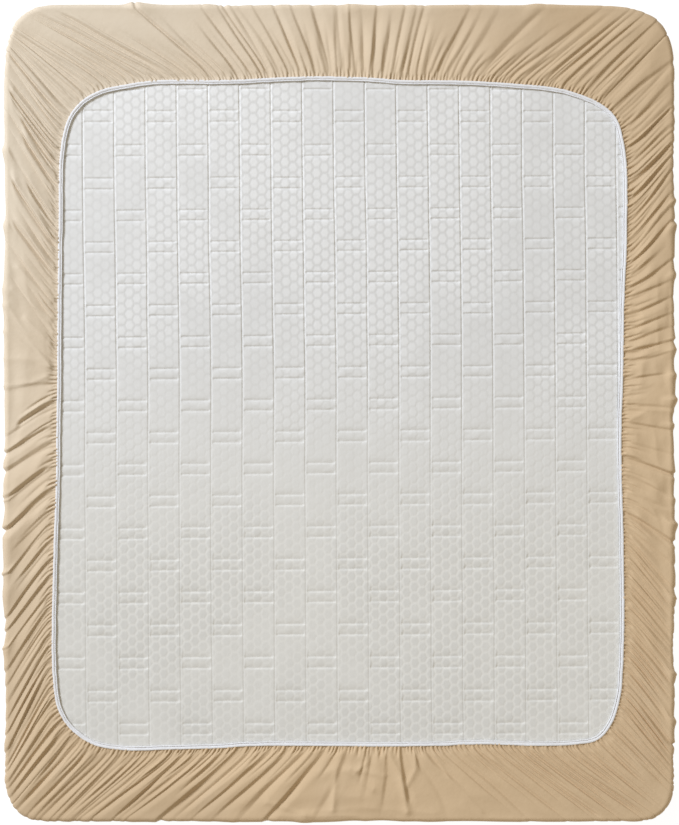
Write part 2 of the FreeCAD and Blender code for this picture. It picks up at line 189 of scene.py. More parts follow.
def make_mesh(name, points, *faces):
    """A smooth mesh object from an array of points in millimetres and arrays of quads or triangles."""
    faces = [np.asarray(f, np.int32) for f in faces]
    mesh = bpy.data.meshes.new(name)
    mesh.vertices.add(len(points))
    mesh.vertices.foreach_set("co", (np.asarray(points, float) * MM).astype(np.float32).ravel())
    corners = np.concatenate([f.ravel() for f in faces])
    sides = np.concatenate([np.full(len(f), f.shape[1], np.int32) for f in faces])
    mesh.loops.add(len(corners))
    mesh.loops.foreach_set("vertex_index", corners)
    mesh.polygons.add(len(sides))
    mesh.polygons.foreach_set("loop_start", np.concatenate([[0], np.cumsum(sides)[:-1]]).astype(np.int32))
    mesh.polygons.foreach_set("loop_total", sides)
    mesh.polygons.foreach_set("use_smooth", np.full(len(sides), True))
    mesh.update(calc_edges=True)
    mesh.validate()
    obj = bpy.data.objects.new(name, mesh)
    bpy.context.scene.collection.objects.link(obj)
    return obj


def grid_faces(rows, columns, closed):
    """Quads of a rows x columns grid whose last column joins the first if closed."""
    across = columns if closed else columns - 1
    r, c = np.meshgrid(np.arange(rows - 1), np.arange(across), indexing="ij")
    a, b = r * columns + c, r * columns + (c + 1) % columns
    return np.stack([a, b, b + columns, a + columns], -1).reshape(-1, 4)


def lengths(points):
    """Distance along a closed line to each of its points, and all the way round."""
    steps = np.linalg.norm(np.roll(points, -1, 0) - points, axis=1)
    return np.concatenate([[0], np.cumsum(steps)[:-1]]), steps.sum()


def resample(points, count):
    """A closed line through the same points, with count of them evenly spaced."""
    along, total = lengths(points)
    at = np.arange(count) * total / count
    closed = np.vstack([points, points[:1]])
    run = np.append(along, total)
    return np.stack([np.interp(at, run, closed[:, k]) for k in (0, 1)], 1)


def smooth_loop(points, count):
    """A closed Catmull-Rom curve through the points, evenly spaced."""
    p = np.asarray(points, float)
    before, after, far = np.roll(p, 1, 0), np.roll(p, -1, 0), np.roll(p, -2, 0)
    fine = []
    for u in np.linspace(0, 1, 24, endpoint=False):
        fine.append(0.5 * (2 * p + (after - before) * u + (2 * before - 5 * p + 4 * after - far) * u * u
                           + (3 * p - before - 3 * after + far) * u ** 3))
    return resample(np.stack(fine, 1).reshape(-1, 2), count)


def soft_rectangle(half, corners, count):
    """A closed line, clockwise from the middle of the head end, with superelliptic corners."""
    points = [(0.0, half[1])]
    for n, ((sx, sy), reach) in enumerate(zip(((1, 1), (1, -1), (-1, -1), (-1, 1)), corners)):
        turn = np.linspace(0, math.pi / 2, 60)
        if n % 2 == 0:
            turn = turn[::-1]
        for c, d in zip(np.cos(turn) ** (2 / CORNER_POWER), np.sin(turn) ** (2 / CORNER_POWER)):
            end = half[1] if sy > 0 else half[2]
            points.append((sx * (half[0] - reach[0] * (1 - c)), sy * (end - reach[1] * (1 - d))))
    return resample(np.array(points), count)


def blur(values, width):
    """A periodic array smoothed by a Gaussian that many samples wide."""
    n = values.shape[-1]
    f = np.fft.rfftfreq(n)
    return np.fft.irfft(np.fft.rfft(values) * np.exp(-2 * (math.pi * f * width) ** 2), n)


def fade(x, start, end):
    """1 up to start, 0 from end, smooth between."""
    u = np.clip((x - start) / np.maximum(end - start, 1e-6), 0, 1)
    return 1 - u * u * (3 - 2 * u)


# ---- the hem's and the edge's lines, and the folds that join them -----------------------------------

COLUMNS = 3400                      # of the sheet's mesh, all round the hem
hem = smooth_loop(HEM, COLUMNS)
hem_at, HEM_LONG = lengths(hem)
ahead = np.roll(hem, -1, 0) - np.roll(hem, 1, 0)
hem_out = np.stack([-ahead[:, 1], ahead[:, 0]], 1)
hem_out /= np.linalg.norm(hem_out, axis=1)[:, None]
FINE = 12000                        # points of the edge's line
edge_line = soft_rectangle(HALF, CORNERS, FINE)
edge_at, EDGE_LONG = lengths(edge_line)


def nearest(line, at, point):
    """The distance along a line, whose points lie at those distances, of the one nearest to point."""
    return at[np.argmin(((line - np.array(point, float)) ** 2).sum(1))]


hem_marks = np.array([nearest(hem, hem_at, h) for h, _ in LEAN])
edge_marks = np.array([nearest(edge_line, edge_at, e) for _, e in LEAN])
order = np.argsort(hem_marks)
hem_marks, edge_marks = hem_marks[order], np.unwrap(edge_marks[order], period=EDGE_LONG)
ratio = EDGE_LONG / HEM_LONG
# meets: how far round the edge each of the hem's points lies once its fold's lean is allowed for
shift = np.interp(hem_at, np.concatenate([hem_marks - HEM_LONG, hem_marks, hem_marks + HEM_LONG]),
                  np.tile(edge_marks - hem_marks * ratio, 3))
shift = blur(shift, 10)
meets = hem_at * ratio + shift


def on_edge(at, inset):
    """Points of the edge line at those distances along it, moved in by inset, and the way out there."""
    at = np.mod(at, EDGE_LONG)
    run = np.append(edge_at, EDGE_LONG)
    closed = np.vstack([edge_line, edge_line[:1]])
    p = np.stack([np.interp(at, run, closed[:, k]) for k in (0, 1)], -1)
    q = np.stack([np.interp(np.mod(at + 4.0, EDGE_LONG), run, closed[:, k]) for k in (0, 1)], -1)
    o = np.stack([np.interp(np.mod(at - 4.0, EDGE_LONG), run, closed[:, k]) for k in (0, 1)], -1)
    t = q - o
    n = np.stack([-t[..., 1], t[..., 0]], -1)
    n /= np.linalg.norm(n, axis=-1)[..., None]
    return p - n * np.asarray(inset)[..., None], n


# ---- the fitted sheet: one mesh whose columns run along the folds -----------------------------------

SPACING = HEM_LONG / COLUMNS
TUCKED = 2.5                        # how far the cloth goes into the binding
LEAN_WITHIN = 22.0                  # a fold starts square to the hem and leans within that distance
FLANGE_ROWS, WALL_ROWS, FOOT_ROWS = 50, 9, 5
WALL_INSET = 5.5                    # the wall's valleys, in from HALF
WALL_STRAIGHTENS = 0.85             # the share of the folds' lean that is lost down the wall
EDGE_LOFT = 5.6                     # how far crests stand out at the mattress's edge
HEM_LOFT = 6.0                      # and at the hem
BINDING_LOFT = 4.2                  # the binding's top above FOLD_BASE
TUCK_PITCH = 8.8
HEIGHT_SINKS = 130, 190             # from here to here below the edge the cloth's height sinks
FOLDS_END = 150, 195                # and from here to here the folds fade out

lie_at = np.array([nearest(hem, hem_at, p[0]) for p in LIE])
lie_order = np.argsort(lie_at)
lie_at = lie_at[lie_order]


def along_hem(n):
    """Column n of LIE for every column of the mesh."""
    values = np.array([p[n] for p in LIE], float)[lie_order]
    padded = np.concatenate([lie_at - HEM_LONG, lie_at, lie_at + HEM_LONG])
    return blur(np.interp(hem_at, padded, np.tile(values, 3)), 18)


pitch, depth, run, steep, force, at_edge, rumple = (along_hem(n) for n in range(1, 8))


def sheet_base():
    """The sheet's surface before its folds: points[row, column] in millimetres."""
    rows = []
    start = hem - hem_out * TUCKED
    end, end_out = on_edge(meets, np.full(COLUMNS, WALL_INSET))
    hem_along = np.stack([hem_out[:, 1], -hem_out[:, 0]], 1)
    over, aside = ((end - start) * hem_out).sum(1), ((end - start) * hem_along).sum(1)
    ease = LEAN_WITHIN / np.linalg.norm(end - start, axis=1)
    x = np.linspace(0, 1, FLANGE_ROWS)
    for w in 0.40 * x + 0.60 * (1 - np.cos(math.pi * x)) / 2:       # closer together at both ends
        lean = (w - ease * (1 - np.exp(-w / ease))) / (1 - ease)
        p = start + hem_out * (over * w)[:, None] + hem_along * (aside * lean)[:, None]
        far = np.clip(((end - p) * end_out).sum(1) / EDGE_OUT, 0, 1)
        drop = EDGE_DROP * (1 - np.sqrt(np.clip(1 - (1 - far) ** 2, 0, 1)))
        rows.append(np.column_stack([p, FOLD_BASE - drop]))
    top = FOLD_BASE - EDGE_DROP
    even = hem_at * ratio + blur(shift, 160)
    for w in np.linspace(0, 1, WALL_ROWS + 1)[1:]:
        p, _ = on_edge(meets + (even - meets) * w * WALL_STRAIGHTENS, np.full(COLUMNS, WALL_INSET))
        rows.append(np.column_stack([p, np.full(COLUMNS, top + (FOOT_ROUND - top) * w)]))
    last = meets + (even - meets) * WALL_STRAIGHTENS
    for a in np.linspace(0, math.pi / 2, FOOT_ROWS + 1)[1:]:
        p, _ = on_edge(last, np.full(COLUMNS, WALL_INSET + FOOT_ROUND * (1 - math.cos(a))))
        low = FLOOR_GAP + (FOOT_ROUND - FLOOR_GAP) * (1 - math.sin(a))
        rows.append(np.column_stack([p, np.full(COLUMNS, low)]))
    return np.array(rows)


base = sheet_base()
ROWS = len(base)
travel = np.concatenate([np.zeros((1, COLUMNS)), np.cumsum(np.linalg.norm(np.diff(base, axis=0), axis=2), 0)])
to_edge = travel[FLANGE_ROWS - 1]
across = np.roll(base, -1, 1) - np.roll(base, 1, 1)
down = np.gradient(base, axis=0)
normal = np.cross(down, across)
gap = np.linalg.norm(normal, axis=2) / np.linalg.norm(down, axis=2) / 2   # between columns, square to them
crowd = gap / SPACING
normal /= np.maximum(np.linalg.norm(normal, axis=2), 1e-9)[..., None]
if normal[0, 0, 2] < 0:
    normal = -normal


def soft_noise(columns, rows, seed):
    """Noise from -1 to 1 that changes over about that many columns and rows."""
    g = np.random.default_rng(seed)
    n, m = max(3, int(COLUMNS / columns)), max(2, int(ROWS / rows)) + 2
    coarse = g.uniform(-1, 1, (m, n))
    u = np.arange(COLUMNS) * n / COLUMNS
    i, f = np.floor(u).astype(int), u - np.floor(u)
    f = f * f * (3 - 2 * f)
    wide = coarse[:, i % n] * (1 - f) + coarse[:, (i + 1) % n] * f
    v = np.arange(ROWS) * (m - 1.001) / (ROWS - 1)
    j, e = np.floor(v).astype(int), v - np.floor(v)
    e = (e * e * (3 - 2 * e))[:, None]
    return wide[j] * (1 - e) + wide[j + 1] * e


# the cloth's height over its lowest surface where no valley is
share = travel / to_edge
beyond = np.maximum(travel - to_edge, 0)
crest = HEM_LOFT + (depth[None] - HEM_LOFT) * (1 - fade(travel, 4, 60))
edge_loft = EDGE_LOFT + 20 * np.clip(at_edge - 0.7, 0, 1)[None]
crest = edge_loft + (crest - edge_loft) * fade(share, 0.45, 1.0)
side = np.abs(hem_out[:, 0]) > 0.7
waves = blur(np.where(side, 3.0, 1.4), 60)[None] * soft_noise(30, 30, 8) * (1 - fade(share, 0.75, 1.0))
dents = (0.7 * soft_noise(44, 12, 4) + 0.4 * soft_noise(23, 7, 12)
         + 1.1 * (0.35 - np.abs(soft_noise(34, 15, 15))))
dents *= rumple[None] * (1 - fade(travel, 10, 50))
height = crest * (1 + 0.14 * soft_noise(30, 14, 3)) + dents + waves
height = np.maximum(height, 1.5) * (0.45 + 0.55 * fade(beyond, *HEIGHT_SINKS))
log_height = np.log(height)
folded = fade(travel, to_edge + FOLDS_END[0], to_edge + FOLDS_END[1])
# folds lie over towards the head's left, so their steep sides all turn the other way
turned = np.where(blur(np.sign(0.61 * hem_out[:, 1] + 0.79 * hem_out[:, 0]), 20) > 0, 1, -1)


def carve(column, alpha, face, back, wander=0.6, aside=0.0, phase=0.0, crisp=0.05, shrink=0.5):
    """Presses a fold into the sheet: alpha is its depth's share, face and back its sides' widths, by row.

    It drifts aside and wanders on its way; crisp rounds its bottom; shrink narrows it where columns crowd.
    """
    c = int(column) % COLUMNS
    side = turned[c]
    step = gap[:, c]
    crowded = np.clip(crowd[:, c], 0.3, 1.25) ** shrink
    face, back = face * crowded, back * crowded
    centre = column + (aside * travel[:, c] * 0.01 + wander * np.sin(travel[:, c] / 42.0 + phase)) / SPACING
    widest = np.maximum(face, back) * 1.5 / np.maximum(step, 0.3)
    reach = min(int(np.ceil(widest.max() + np.abs(centre - column).max())) + 1, COLUMNS // 4)
    at = np.arange(c - reach, c + reach + 1)
    x = (at[None] - centre[:, None] + (column - c)) * step[:, None] * side
    t = np.where(x < 0, -x / face[:, None], x / back[:, None])
    u = 1 - np.sqrt(t * t + crisp * crisp) + crisp
    v = (u + np.sqrt(u * u + 0.02)) / 2
    v = np.where(x < 0, v, v ** 1.4)
    log_height[:, at % COLUMNS] += np.log(np.clip(1 - alpha[:, None] * v, 0.03, 1))


def scattered(step_of, spread, seed):
    """Columns one after another round the hem, a varying step apart, with the last gap shared out."""
    g = np.random.default_rng(seed)
    found, at = [], 0.0
    while at < HEM_LONG:
        found.append(at)
        at += step_of(at) * g.uniform(1 - spread, 1 + spread)
    return np.array(found) * (HEM_LONG / at) / SPACING


def here(values, column):
    """One column's value."""
    return float(values[int(column) % COLUMNS])


def column_of(place):
    """The column that leaves the hem nearest to place."""
    return nearest(hem, hem_at, place) / SPACING


# the folds proper
mids = scattered(lambda s: here(pitch, s / SPACING), 0.34, 5)
for c in mids:
    k = int(c) % COLUMNS
    d, f = travel[:, k], share[:, k]
    strong = here(force, c) * rng.uniform(0.65, 1.25)
    long = here(run, c) * rng.uniform(0.25, 1.3)
    alpha = strong * (0.75 + 0.25 * (1 - fade(d, 0, 24))) * fade(d, long * 0.5, long + 40)
    alpha *= (here(at_edge, c) + (1 - here(at_edge, c)) * fade(f, 0.78, 1.0)) * folded[:, k]
    face = here(steep, c) * rng.uniform(0.55, 1.25) * (1.05 - 0.3 * np.clip(f, 0, 1))
    back = (here(pitch, c) * rng.uniform(0.5, 1.1) - face * 0.4) * (0.6 + 0.4 * np.clip(d / 60, 0, 1))
    wander = rng.uniform(0.3, 1.6) * (1 + 0.7 * here(rumple, c))
    carve(c, alpha, face, np.maximum(back, face * 0.8), wander, rng.normal(0, 2.6), rng.uniform(0, 6))

# short ones between them
between = scattered(lambda s: 0.5 * here(pitch, s / SPACING), 0.4, 6)
for c in between:
    d = travel[:, int(c) % COLUMNS]
    long = here(run, c) * rng.uniform(0.08, 0.42) + 12
    alpha = rng.uniform(0.25, 0.6) * (0.6 + 0.4 * (1 - fade(d, 0, 14))) * fade(d, long * 0.4, long)
    face = np.clip(0.5 * here(steep, c), 2.6, 5.5) * rng.uniform(0.7, 1.3)
    face = face * (0.8 + 0.3 * np.clip(d / 40, 0, 1))
    carve(c, alpha, face, face * 2.0, 0.4, rng.normal(0, 4), rng.uniform(0, 6))

# the tucks that the elastic gathers
tucks = scattered(lambda s: TUCK_PITCH, 0.32, 7)
for c in tucks:
    d = travel[:, int(c) % COLUMNS]
    long = rng.uniform(12, 34)
    alpha = rng.uniform(0.6, 0.98) * fade(d, long * 0.35, long)
    carve(c, alpha, 2.7 + 0.03 * d, 4.0 + 0.04 * d, 0.2, rng.normal(0, 5), rng.uniform(0, 6), 0.12)

for place, high, wide, begin, end in CREASES:
    c = column_of(place)
    f = share[:, int(c)]
    alpha = 0.92 * (1 - fade(f, begin, begin + 0.25)) * fade(f, end - 0.12, end)
    window = np.arange(int(c) - 40, int(c) + 41)
    ridge = np.exp(-((window - c)[None] * gap[:, window % COLUMNS] / (8 + 1.4 * wide)) ** 2)
    log_height[:, window % COLUMNS] += alpha[:, None] * ridge * math.log1p(high / 16)
    carve(c, alpha, np.full(ROWS, wide), np.full(ROWS, 2.2 * wide), 0.8, 0.0, 1.0, 0.03, 0.0)

lift = np.exp(log_height)
for place, wide, out in BUMPS:
    x = (meets - nearest(edge_line, edge_at, place) + EDGE_LONG / 2) % EDGE_LONG - EDGE_LONG / 2
    slope = np.where(x * turned > 0, wide, 0.45 * wide)
    lift += out * np.exp(-(x / slope) ** 2) * (1 - fade(share, 0.7, 1.0))
lift *= 0.12 + 0.88 * folded
lift = np.minimum(lift, BINDING_LOFT + 0.6 * travel)


def distance_to(line):
    """From every place on the cloth to a line of points, seen from above."""
    x, y = base[..., 0], base[..., 1]
    least = np.full(x.shape, np.inf)
    for (ax, ay), (bx, by) in zip(line[:-1], line[1:]):
        dx, dy = bx - ax, by - ay
        t = np.clip(((x - ax) * dx + (y - ay) * dy) / (dx ** 2 + dy ** 2), 0, 1)
        least = np.minimum(least, np.hypot(x - ax - t * dx, y - ay - t * dy))
    return least


for line, wide, high in CROSSING:
    ridge = high * np.exp(-(distance_to(line) / wide) ** 1.5)
    lift += ridge * (1 - fade(travel, 4, 26)) * fade(beyond, 0, 40)

# the sewn corners: a narrow groove where the sheet's two edges meet, from the hem down the wall
for place in SEAMS:
    x = ((np.arange(COLUMNS) - column_of(place) + COLUMNS / 2) % COLUMNS - COLUMNS / 2)[None] * gap
    lift -= 2.6 * np.exp(-np.abs(x) / 1.7) * (1 - fade(travel, 4, 20)) * folded * np.clip(lift / 4, 0, 1)
surface = base + normal * lift[..., None]
surface[..., 2] = np.maximum(surface[..., 2], LOWEST)

# the sleeping side, flat on the floor: rings of points, each a share of the outermost, and a middle point
FLOOR_RINGS = (0.9, 0.6, 0.25)
rings = [surface.reshape(-1, 3)]
for part in FLOOR_RINGS:
    rings.append(np.column_stack([surface[-1, :, :2] * part, np.full(COLUMNS, FLOOR_GAP)]))
points = np.vstack(rings + [[[0, 0, FLOOR_GAP]]])
all_rows = ROWS + len(FLOOR_RINGS)
last = (all_rows - 1) * COLUMNS + np.arange(COLUMNS)
middle = np.stack([last, np.roll(last, -1), np.full(COLUMNS, len(points) - 1)], 1)
sheet = make_mesh("fitted_sheet_cloth", points, grid_faces(all_rows, COLUMNS, True), middle)

# ---- the hem: elastic in a folded white binding ------------------------------------------------------

# profiles of the two bands, from -1 at the inner or lower side to 1 at the outer or upper side; the tape is
# stitched down along a line near its inner edge
TAPE = [
    (-1, -1), (1, -1), (1, 0.35), (0.93, 0.8), (0.8, 1.0), (0.35, 1.0), (-0.12, 0.9), (-0.28, 0.6),
    (-0.38, 0.05), (-0.48, 0.6), (-0.62, 0.85), (-0.85, 0.8), (-0.97, 0.5), (-1, 0.0),
]
BAND = [(-1, -0.8), (-0.85, -1), (0.85, -1), (1, -0.8), (1, 0.8), (0.85, 1), (-0.85, 1), (-1, 0.8)]


def hem_band(name, low, high, inner, outer, profile, count):
    """A closed band that follows the hem: low and high are its levels, inner and outer its edges' insets."""
    line = smooth_loop(HEM, count)
    t = np.roll(line, -1, 0) - np.roll(line, 1, 0)
    out = np.stack([-t[:, 1], t[:, 0]], 1)
    out /= np.linalg.norm(out, axis=1)[:, None]
    g = np.random.default_rng(9)
    small = blur(g.normal(0, 1, count), 1.6)
    slow = blur(g.normal(0, 1, count), 14)
    small, slow = small / small.std(), slow / slow.std()
    points = []
    for a, b in profile:
        inset = (inner + outer) / 2 - a * (inner - outer) / 2 + 0.22 * small + 0.5 * slow
        level = (low + high) / 2 + b * (high - low) / 2 + (0.20 * small + 0.25 * slow if b > 0 else 0.0)
        points.append(np.column_stack([line - out * inset[:, None], level * np.ones(count)]))
    faces = grid_faces(len(profile) + 1, count, True) % (len(profile) * count)
    return make_mesh(name, np.concatenate(points), faces)


binding = hem_band("hem_binding_tape", low=218.7, high=225.6, inner=10.4, outer=0.0, profile=TAPE, count=1500)
elastic = hem_band("hem_elastic_band", low=221.2, high=223.6, inner=8.2, outer=2.8, profile=BAND, count=600)


# ---- the quilted underside ---------------------------------------------------------------------------

PITCH = 76.2                        # between the quilting's columns
COLUMN_START = -9.2                 # the place of one of the upright lines
SKEW, BOW = 0.0073, 3.0             # their slant, and how far they bow to the right
# how the stitched rows hang: a level, how far they lie below it in the middle, and how much further below
# it they lie TILT_SPAN to the right of the middle
ROWS_HANG = np.array([
    (-967, 9.0, -1.0), (-741, 7.0, -2.0), (-585, 1.0, -3.4), (-430, -2.3, -4.8), (-200, -2.2, -5.7),
    (36, 0.4, -5.2), (269, 3.2, -5.2), (424, 5.5, -5.2), (540, 8.3, -3.4), (657, 7.2, 0.0),
    (735, 2.8, 0.5), (967, 2.0, 0.5),
])
TILT_SPAN = 620
BAR_PITCH, BAR_GAP = 156.0, 25.4    # between the pairs of crossed bars, and between a pair's two bars
BAR_OFFSET = (98.0, 20.0)           # in even and in odd columns
PUFF = 2.1                          # how high the ticking puffs up between stitches
STITCHED = 1.5                      # how far the stitches lie below QUILT_TOP
PANEL = (792.0, 967.0)              # half the panel's width and length
PANEL_CORNER = 102.0
ROLL, ROLL_DROP = 12.0, 11.3        # how its rim turns down to the edge tape
LINE_STEP = 7.5                     # between the mesh's lines where nothing is stitched
NOISE_SPAN = (1700, 2050)           # wider and longer than the panel


def grid_lines(limit, grooves, spread, step):
    """Lines from -limit to limit: close together beside each groove and step apart elsewhere."""
    found = [-limit, limit]
    for inset in (0.6, 2.0, 4.5, 8.0, ROLL):
        found += [-limit + inset, limit - inset]
    for g in grooves:
        found += [g + d for d in spread if abs(g + d) < limit - ROLL]
    found = sorted(found)
    lines = [found[0]]
    for x in found[1:]:
        if x - lines[-1] < 0.45:
            continue
        parts = max(1, int(round((x - lines[-1]) / step)))
        lines += list(np.linspace(lines[-1], x, parts + 1)[1:])
    return np.array(lines)


upright = [COLUMN_START + PITCH * k for k in range(-11, 12)]
bars = sorted(o + BAR_PITCH * n + s for o in BAR_OFFSET for n in range(-8, 8)
              for s in (-BAR_GAP / 2, BAR_GAP / 2))
SPREAD = (-9, -5.6, -3.8, -2.6, -1.2, 0, 1.2, 2.6, 3.8, 5.6, 9)     # the mesh's lines about a stitched one
xs = grid_lines(PANEL[0], upright, SPREAD, LINE_STEP)
ys = grid_lines(PANEL[1], bars, SPREAD[1:-1], LINE_STEP)
U, V = np.meshgrid(xs, ys)          # places in the quilting's own pattern


def field_noise(x, y, size, seed):
    """Smooth noise from -1 to 1 over the panel, changing over about size millimetres."""
    g = np.random.default_rng(seed)
    n, m = int(NOISE_SPAN[0] / size) + 3, int(NOISE_SPAN[1] / size) + 3
    coarse = g.uniform(-1, 1, (m, n))
    u, v = (x + NOISE_SPAN[0] / 2) / size, (y + NOISE_SPAN[1] / 2) / size
    i, j = np.floor(u).astype(int), np.floor(v).astype(int)
    f, e = u - i, v - j
    f, e = f * f * (3 - 2 * f), e * e * (3 - 2 * e)
    top = coarse[j, i] * (1 - f) + coarse[j, i + 1] * f
    return top * (1 - e) + (coarse[j + 1, i] * (1 - f) + coarse[j + 1, i + 1] * f) * e


# the panel was quilted a little out of square, and neither its columns nor its rows are quite straight
inner = fade(np.abs(U), 700, PANEL[0]) * fade(np.abs(V), 830, PANEL[1])
X = U - (SKEW * V - BOW * np.exp(-((V - 150) / 280) ** 2) * fade(U, 100, 700)) * inner
level, below, tilt = ROWS_HANG.T
Y = V - (np.interp(V, level, below) + np.interp(V, level, tilt) * U / TILT_SPAN) * inner
# the stitched lines wander, as quilted cloth does
px = U + 1.0 * field_noise(U, V, 180, 31)
py = V + 1.1 * field_noise(U, V, 150, 32)
cell = np.floor((px - COLUMN_START) / PITCH).astype(int)
to_line = (px - COLUMN_START) - PITCH * np.round((px - COLUMN_START) / PITCH)
offset = np.where(cell % 2 == 0, BAR_OFFSET[0], BAR_OFFSET[1])
from_pair = (py - offset) - BAR_PITCH * np.round((py - offset) / BAR_PITCH)
near_bar = np.abs(from_pair) - BAR_GAP / 2
to_bar = np.where(from_pair > 0, near_bar, -near_bar)       # positive towards the head
in_column = np.clip((np.abs(to_line) - 2.5) / 3.5, 0, 1)
low_end = fade(V, -260, 260)        # the stitches pull less at the foot end, and more to one side


def groove(d, gentle, steep):
    """A stitched groove's profile, 1 at the stitches: gentle where d > 0 and steep where d < 0."""
    u = 1 - np.where(d > 0, d / gentle, -d / steep)
    return (u + np.sqrt(u * u + 0.03)) / 2.015


along = 1 - (1 - 0.66 * low_end) * groove(-to_line, 2.3, 3.4)
bar = 1 - 0.92 * in_column * groove(to_bar, 3.4 + 6.2 * low_end, 5.2 - 1.4 * low_end)
between_bars = np.clip(-near_bar / 4, 0, 1) * in_column
pucker = (field_noise(U, V, 11, 33) * (0.12 + 0.70 * between_bars + 0.22 * np.exp(-np.abs(to_line) / 9))
          * (1 - 0.35 * low_end))
swell = 0.35 * field_noise(U, V, 70, 34) + 0.25 * field_noise(U, V, 36, 35)
Z = QUILT_TOP - STITCHED + PUFF * along * bar + (pucker + swell) * along
q = np.maximum(np.stack([np.abs(X) - PANEL[0] + PANEL_CORNER, np.abs(Y) - PANEL[1] + PANEL_CORNER]), 0)
from_corner = np.hypot(q[0], q[1])
inset = np.minimum(np.minimum(PANEL[0] - np.abs(X), PANEL[1] - np.abs(Y)), PANEL_CORNER - from_corner)
outside = inset < -1e-6
pull = np.where(outside, PANEL_CORNER / np.maximum(from_corner, 1e-6), 1.0)
X2 = np.where(outside, np.sign(X) * (PANEL[0] - PANEL_CORNER + q[0] * pull), X)
Y2 = np.where(outside, np.sign(Y) * (PANEL[1] - PANEL_CORNER + q[1] * pull), Y)
turn = np.clip(1 - inset / ROLL, 0, 1)
Z = Z - ROLL_DROP * (1 - np.sqrt(np.clip(1 - turn ** 2, 0, 1)))
quads = grid_faces(len(ys), len(xs), False)
quads = quads[~outside.ravel()[quads].all(1)]
used = np.unique(quads)
number = np.full(X.size, -1)
number[used] = np.arange(len(used))
panel_points = np.stack([X2.ravel(), Y2.ravel(), Z.ravel()], 1)[used]
quilt = make_mesh("underside_quilt", panel_points, number[quads])


# ---- pieces inside, copied onto the sleeping half -----------------------------------------------------

def softened(node):
    """A copy of a CAD node in the node's place, attached to the sleeping half; the node is hidden."""
    source = frame["nodes"][node]
    piece = bpy.data.objects.new(node + "_soft", source.data.copy())
    bpy.context.scene.collection.objects.link(piece)
    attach(piece, "sleeping_half")
    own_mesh(piece)
    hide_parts(node)
    return piece


soft = {}
for node in frame["nodes"]:
    if node.startswith("pocket_string"):
        soft[node] = softened(node)
    elif node.startswith(("border_", "air_vents", "handle_")):
        soft[node] = softened(node)
    elif node == "sheet_corner_seams":
        soft[node] = softened(node)

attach(sheet, "sleeping_half")
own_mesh(sheet)
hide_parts("fitted_sheet")
for piece, node in ((binding, "hem_binding"), (elastic, "hem_elastic"), (quilt, "underside_ticking")):
    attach(piece, "underside_half")
    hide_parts(node)


# ---- materials -----------------------------------------------------------------------------------------

class Nodes:
    """Builds one material's node tree."""

    def __init__(self, name):
        self.material = bpy.data.materials.new(name)
        self.material.use_nodes = True
        self.tree = self.material.node_tree
        self.tree.nodes.clear()
        self.out = self.tree.nodes.new("ShaderNodeOutputMaterial")
        self.shader = self.tree.nodes.new("ShaderNodeBsdfPrincipled")
        self.tree.links.new(self.shader.outputs["BSDF"], self.out.inputs["Surface"])
        self.place = self.tree.nodes.new("ShaderNodeTexCoord").outputs["Object"]

    def set(self, node, index, value):
        socket = node.inputs[index]
        if isinstance(value, bpy.types.NodeSocket):
            self.tree.links.new(value, socket)
        else:
            socket.default_value = value

    def math(self, operation, a, b=0.0, c=0.0, clamp=False):
        node = self.tree.nodes.new("ShaderNodeMath")
        node.operation = operation
        node.use_clamp = clamp
        for n, v in enumerate((a, b, c)):
            self.set(node, n, v)
        return node.outputs[0]

    def noise(self, scale, detail=3.0, rough=0.55, place=None):
        node = self.tree.nodes.new("ShaderNodeTexNoise")
        self.set(node, "Vector", place or self.place)
        self.set(node, "Scale", scale)
        self.set(node, "Detail", detail)
        self.set(node, "Roughness", rough)
        return node.outputs["Fac"]

    def stretch(self, x, y, z):
        node = self.tree.nodes.new("ShaderNodeMapping")
        self.set(node, "Vector", self.place)
        self.set(node, "Scale", (x, y, z))
        return node.outputs["Vector"]

    def parts(self):
        node = self.tree.nodes.new("ShaderNodeSeparateXYZ")
        self.set(node, 0, self.place)
        return node.outputs["X"], node.outputs["Y"], node.outputs["Z"]

    def ramp(self, value, low, high):
        node = self.tree.nodes.new("ShaderNodeMapRange")
        node.interpolation_type = "SMOOTHSTEP"
        for n, v in ((0, value), (1, low), (2, high), (3, 0.0), (4, 1.0)):
            self.set(node, n, v)
        return node.outputs[0]

    def mix(self, share, a, b):
        node = self.tree.nodes.new("ShaderNodeMix")
        node.data_type = "RGBA"
        self.set(node, 0, share)
        for n, v in ((6, a), (7, b)):
            self.set(node, n, v if isinstance(v, bpy.types.NodeSocket) else (*v, 1.0))
        return node.outputs[2]

    def scale(self, color, factor):
        node = self.tree.nodes.new("ShaderNodeVectorMath")
        node.operation = "SCALE"
        self.set(node, 0, color)
        self.set(node, 3, factor)
        return node.outputs[0]

    def finish(self, color, roughness, bumps=(), sheen=0.0, sheen_tint=(1, 1, 1), metallic=0.0, specular=0.5):
        if isinstance(color, bpy.types.NodeSocket):
            self.tree.links.new(color, self.shader.inputs["Base Color"])
        else:
            self.shader.inputs["Base Color"].default_value = (*color, 1.0)
        self.set(self.shader, "Roughness", roughness)
        self.shader.inputs["Metallic"].default_value = metallic
        self.shader.inputs["Specular IOR Level"].default_value = specular
        self.shader.inputs["Sheen Weight"].default_value = sheen
        self.shader.inputs["Sheen Roughness"].default_value = 0.45
        self.shader.inputs["Sheen Tint"].default_value = (*sheen_tint, 1.0)
        link = None
        for height, distance, strength in bumps:
            bump = self.tree.nodes.new("ShaderNodeBump")
            bump.inputs["Strength"].default_value = strength
            bump.inputs["Distance"].default_value = distance
            self.tree.links.new(height, bump.inputs["Height"])
            if link is not None:
                self.tree.links.new(link, bump.inputs["Normal"])
            link = bump.outputs["Normal"]
        if link is not None:
            self.tree.links.new(link, self.shader.inputs["Normal"])
        return self.material


def dress(obj, material):
    obj.data.materials.clear()
    obj.data.materials.append(material)


